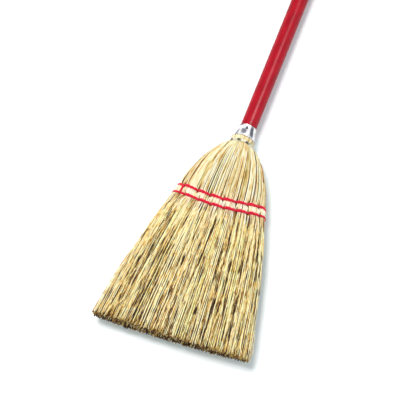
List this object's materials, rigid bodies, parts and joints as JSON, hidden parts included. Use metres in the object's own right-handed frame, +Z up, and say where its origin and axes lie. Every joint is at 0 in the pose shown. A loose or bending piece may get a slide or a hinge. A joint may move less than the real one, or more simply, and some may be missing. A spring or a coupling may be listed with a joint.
{
  "type": "straw broom",
  "caption": "Flat straw broom: lacquered round wooden handle with a tapered end bound into a flared straw head by wire and a metal ferrule, sewn flat with rows of twine.",
  "frame": {"origin": "middle of the whole broom's outline on the floor it lies on", "axes": "+Y along the broom towards the handle's end, +X across the head, +Z up out of the face that shows"},
  "size_m": [0.2126, 0.9878, 0.0397],
  "materials": {
    "red_lacquer": "gloss",
    "tinplate": "polished",
    "steel_wire": "satin",
    "hurl_straw": "matte",
    "inner_straw": "matte",
    "red_twine": "matte"
  },
  "bodies": {
    "root": {"handle": "red_lacquer", "ferrule": "tinplate", "binding_wire": "steel_wire", "wire_nail": "steel_wire", "front_cover_straw": "hurl_straw", "back_cover_straw": "hurl_straw", "core_straw": "inner_straw", "left_shoulder_straw": "inner_straw", "right_shoulder_straw": "inner_straw", "stitching_twine": "red_twine"}
  },
  "joints": []
}
